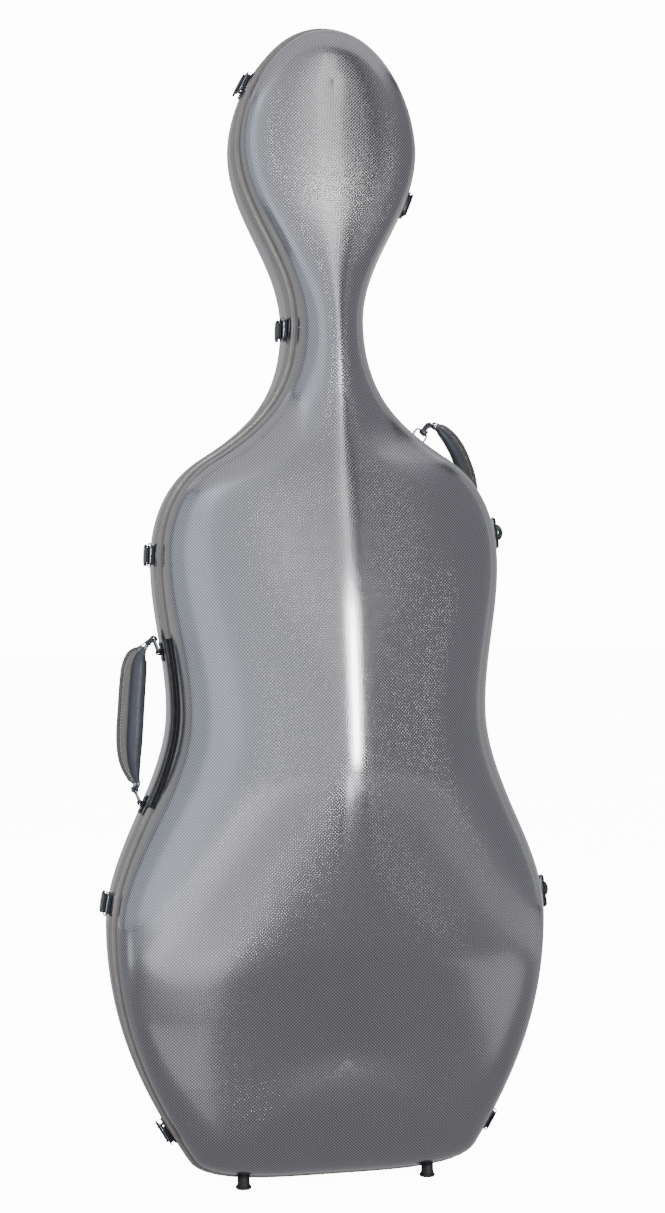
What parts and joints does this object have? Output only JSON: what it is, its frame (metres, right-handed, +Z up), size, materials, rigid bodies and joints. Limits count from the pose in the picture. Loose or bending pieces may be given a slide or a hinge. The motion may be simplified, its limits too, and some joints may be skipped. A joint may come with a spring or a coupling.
{
  "type": "cello hard case",
  "caption": "Upright hard shell case for a cello: ridged lid on two side hinges, draw latches round the seam, padded side and shoulder handles, four feet, plush inside",
  "frame": {"origin": "bottom centre of the bounding box, on the plane of the four feet", "axes": "+Z up towards the head end, -Y out of the lid, +Y out of the back, +X towards the hinges"},
  "size_m": [0.538, 0.2904, 1.334],
  "materials": {
    "shell": "moulded composite shell with a fine crossed weave under clear lacquer",
    "plush": "black plush lining over foam",
    "rubber": "black rubber",
    "guard": "dark protective strip",
    "aluminium": "bare aluminium profile",
    "dark_metal": "dark grey painted steel",
    "bright_metal": "polished steel",
    "leather": "stitched dark leather over a padded core"
  },
  "bodies": {
    "base": {"base_foot_left": "rubber", "base_foot_right": "rubber", "base_lining": "plush", "base_shell": "shell", "base_tongue": "aluminium", "bottom_left_latch_bracket": "dark_metal", "bottom_right_latch_bracket": "dark_metal", "endpin_pad": "plush", "head_left_latch_bracket": "dark_metal", "head_right_latch_bracket": "dark_metal", "lower_bumper": "dark_metal", "lower_hinge_base_leaf": "dark_metal", "lower_hinge_pin": "bright_metal", "lower_left_latch_bracket": "dark_metal", "neck_cradle": "plush", "neck_left_latch_bracket": "dark_metal", "neck_strap": "plush", "rim_seal": "rubber", "shoulder_handle_lower_anchor": "dark_metal", "shoulder_handle_upper_anchor": "dark_metal", "side_handle_lower_anchor": "dark_metal", "side_handle_upper_anchor": "dark_metal", "upper_bumper": "dark_metal", "upper_hinge_base_leaf": "dark_metal", "upper_hinge_pin": "bright_metal", "upper_left_latch_bracket": "dark_metal"},
    "lid": {"bottom_left_latch_keeper": "dark_metal", "bottom_right_latch_keeper": "dark_metal", "head_left_latch_keeper": "dark_metal", "head_right_latch_keeper": "dark_metal", "lid_foot_left": "rubber", "lid_foot_right": "rubber", "lid_lining": "plush", "lid_shell": "shell", "lower_hinge_lid_leaf": "dark_metal", "lower_left_latch_keeper": "dark_metal", "neck_left_latch_keeper": "dark_metal", "upper_hinge_lid_leaf": "dark_metal", "upper_left_latch_keeper": "dark_metal", "waist_guard": "guard"},
    "head_left_lever": {"head_left_latch_lever": "bright_metal"},
    "head_left_link": {"head_left_latch_link": "bright_metal"},
    "head_right_lever": {"head_right_latch_lever": "bright_metal"},
    "head_right_link": {"head_right_latch_link": "bright_metal"},
    "neck_left_lever": {"neck_left_latch_lever": "bright_metal"},
    "neck_left_link": {"neck_left_latch_link": "bright_metal"},
    "upper_left_lever": {"upper_left_latch_lever": "bright_metal"},
    "upper_left_link": {"upper_left_latch_link": "bright_metal"},
    "lower_left_lever": {"lower_left_latch_lever": "bright_metal"},
    "lower_left_link": {"lower_left_latch_link": "bright_metal"},
    "bottom_left_lever": {"bottom_left_latch_lever": "bright_metal"},
    "bottom_left_link": {"bottom_left_latch_link": "bright_metal"},
    "bottom_right_lever": {"bottom_right_latch_lever": "bright_metal"},
    "bottom_right_link": {"bottom_right_latch_link": "bright_metal"},
    "side_handle_upper_ring": {"side_handle_upper_wire": "bright_metal"},
    "side_handle_lower_ring": {"side_handle_lower_wire": "bright_metal"},
    "side_handle": {"side_handle_grip": "leather"},
    "shoulder_handle": {"shoulder_handle_grip": "leather", "shoulder_handle_lower_wire": "bright_metal", "shoulder_handle_upper_wire": "bright_metal"}
  },
  "joints": [
    {"name": "lid_hinge", "type": "hinge", "parent": "base", "child": "lid", "pos_m": [0.20205, -0.00682, 0.75], "axis": [-0.1306, 0, 0.9914], "range_deg": [0, 100]},
    {"name": "head_left_lever_turn", "type": "hinge", "parent": "base", "child": "head_left_lever", "pos_m": [-0.09729, 0.00118, 1.26967], "axis": [0.4458, 0, 0.8951], "range_deg": [0, 120]},
    {"name": "head_left_link_turn", "type": "hinge", "parent": "head_left_lever", "child": "head_left_link", "pos_m": [-0.09729, 0.00618, 1.26967], "axis": [0.4458, 0, 0.8951], "range_deg": [-148, 0]},
    {"name": "head_right_lever_turn", "type": "hinge", "parent": "base", "child": "head_right_lever", "pos_m": [0.09932, 0.00118, 1.13481], "axis": [-0.3658, 0, -0.9307], "range_deg": [0, 120]},
    {"name": "head_right_link_turn", "type": "hinge", "parent": "head_right_lever", "child": "head_right_link", "pos_m": [0.09932, 0.00618, 1.13481], "axis": [-0.3658, 0, -0.9307], "range_deg": [-148, 0]},
    {"name": "neck_left_lever_turn", "type": "hinge", "parent": "base", "child": "neck_left_lever", "pos_m": [-0.05314, 0.00118, 0.98626], "axis": [0.0347, 0, 0.9994], "range_deg": [0, 120]},
    {"name": "neck_left_link_turn", "type": "hinge", "parent": "neck_left_lever", "child": "neck_left_link", "pos_m": [-0.05314, 0.00618, 0.98626], "axis": [0.0347, 0, 0.9994], "range_deg": [-148, 0]},
    {"name": "upper_left_lever_turn", "type": "hinge", "parent": "base", "child": "upper_left_lever", "pos_m": [-0.21053, 0.00118, 0.72526], "axis": [0.0427, 0, 0.9991], "range_deg": [0, 120]},
    {"name": "upper_left_link_turn", "type": "hinge", "parent": "upper_left_lever", "child": "upper_left_link", "pos_m": [-0.21053, 0.00618, 0.72526], "axis": [0.0427, 0, 0.9991], "range_deg": [-148, 0]},
    {"name": "lower_left_lever_turn", "type": "hinge", "parent": "base", "child": "lower_left_lever", "pos_m": [-0.2636, 0.00118, 0.32902], "axis": [0.1696, 0, 0.9855], "range_deg": [0, 120]},
    {"name": "lower_left_link_turn", "type": "hinge", "parent": "lower_left_lever", "child": "lower_left_link", "pos_m": [-0.2636, 0.00618, 0.32902], "axis": [0.1696, 0, 0.9855], "range_deg": [-148, 0]},
    {"name": "bottom_left_lever_turn", "type": "hinge", "parent": "base", "child": "bottom_left_lever", "pos_m": [-0.19802, 0.00118, 0.06297], "axis": [-0.5047, 0, 0.8633], "range_deg": [0, 120]},
    {"name": "bottom_left_link_turn", "type": "hinge", "parent": "bottom_left_lever", "child": "bottom_left_link", "pos_m": [-0.19802, 0.00618, 0.06297], "axis": [-0.5047, 0, 0.8633], "range_deg": [-148, 0]},
    {"name": "bottom_right_lever_turn", "type": "hinge", "parent": "base", "child": "bottom_right_lever", "pos_m": [0.18955, 0.00118, 0.05693], "axis": [-0.5124, 0, -0.8587], "range_deg": [0, 120]},
    {"name": "bottom_right_link_turn", "type": "hinge", "parent": "bottom_right_lever", "child": "bottom_right_link", "pos_m": [0.18955, 0.00618, 0.05693], "axis": [-0.5124, 0, -0.8587], "range_deg": [-148, 0]},
    {"name": "side_handle_upper_ring_turn", "type": "hinge", "parent": "base", "child": "side_handle_upper_ring", "pos_m": [-0.19743, 0.01523, 0.61334], "axis": [0, -1, 0], "range_deg": [-8, 100]},
    {"name": "side_handle_lower_ring_turn", "type": "hinge", "parent": "base", "child": "side_handle_lower_ring", "pos_m": [-0.22059, 0.01523, 0.44079], "axis": [0, -1, 0], "range_deg": [-8, 100]},
    {"name": "side_handle_turn", "type": "hinge", "parent": "side_handle_upper_ring", "child": "side_handle", "pos_m": [-0.20334, 0.01523, 0.62874], "axis": [0, -1, 0], "range_deg": [-100, 8]},
    {"name": "shoulder_handle_swing", "type": "hinge", "parent": "base", "child": "shoulder_handle", "pos_m": [0.14775, 0.05454, 0.7987], "axis": [-0.4249, -0.4612, 0.7789], "range_deg": [-12, 12]}
  ],
  "couplings": [
    {"joint": "head_left_link_turn", "follows": "head_left_lever_turn", "ratio": -1.2333},
    {"joint": "head_right_link_turn", "follows": "head_right_lever_turn", "ratio": -1.2333},
    {"joint": "neck_left_link_turn", "follows": "neck_left_lever_turn", "ratio": -1.2333},
    {"joint": "upper_left_link_turn", "follows": "upper_left_lever_turn", "ratio": -1.2333},
    {"joint": "lower_left_link_turn", "follows": "lower_left_lever_turn", "ratio": -1.2333},
    {"joint": "bottom_left_link_turn", "follows": "bottom_left_lever_turn", "ratio": -1.2333},
    {"joint": "bottom_right_link_turn", "follows": "bottom_right_lever_turn", "ratio": -1.2333},
    {"joint": "side_handle_lower_ring_turn", "follows": "side_handle_upper_ring_turn", "ratio": 1},
    {"joint": "side_handle_turn", "follows": "side_handle_upper_ring_turn", "ratio": -1}
  ]
}
